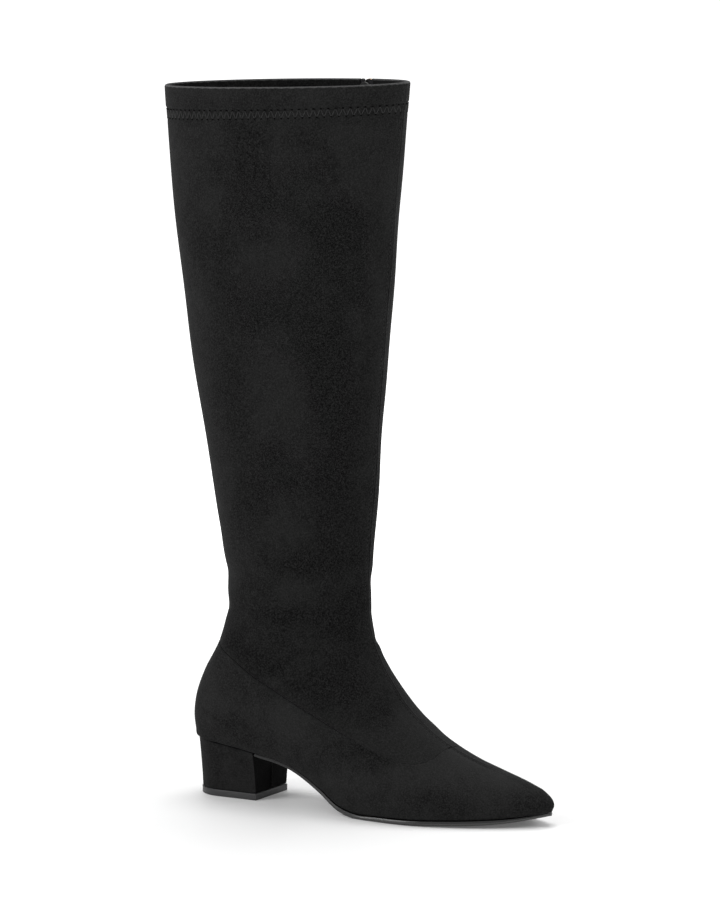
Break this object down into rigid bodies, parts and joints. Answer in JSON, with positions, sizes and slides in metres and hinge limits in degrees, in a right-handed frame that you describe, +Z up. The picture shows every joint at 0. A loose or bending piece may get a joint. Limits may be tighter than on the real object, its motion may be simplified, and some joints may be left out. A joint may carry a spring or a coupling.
{
  "type": "knee-high boot",
  "caption": "Knee-high boot of dark stretch suede with a pointed toe, low covered block heel, stitched collar hem and an inner-side zip with a swinging pull tab.",
  "frame": {"origin": "on the floor at the centre of the heel's tread face", "axes": "+X towards the toe, +Y towards the inner side of the foot, +Z up the leg"},
  "size_m": [0.2725, 0.0874, 0.4547],
  "materials": {
    "foot_suede": "black brushed stretch suede cloth",
    "shaft_suede": "black brushed stretch suede cloth",
    "heel_suede": "suede cloth glued over a moulded block",
    "sole_rubber": "smooth, slightly glossy edge",
    "top_piece_rubber": "smooth, matt",
    "sock_lining": "matt lining cloth",
    "zip_coil": "black nylon coil, slightly glossy",
    "zip_metal": "light gold plate, polished"
  },
  "bodies": {
    "boot": {"outsole": "sole_rubber", "insole": "sock_lining", "heel": "heel_suede", "heel_top_piece": "top_piece_rubber", "upper": "foot_suede", "shaft": "shaft_suede", "zip_chain": "zip_coil", "zip_slider": "zip_metal"},
    "pull": {"zip_pull": "zip_metal"}
  },
  "joints": [
    {"name": "zip_pull_swing", "type": "hinge", "parent": "boot", "child": "pull", "pos_m": [0.07347, 0.04129, 0.44569], "axis": [0.9704, -0.2392, -0.0326], "range_deg": [0, 165]}
  ]
}
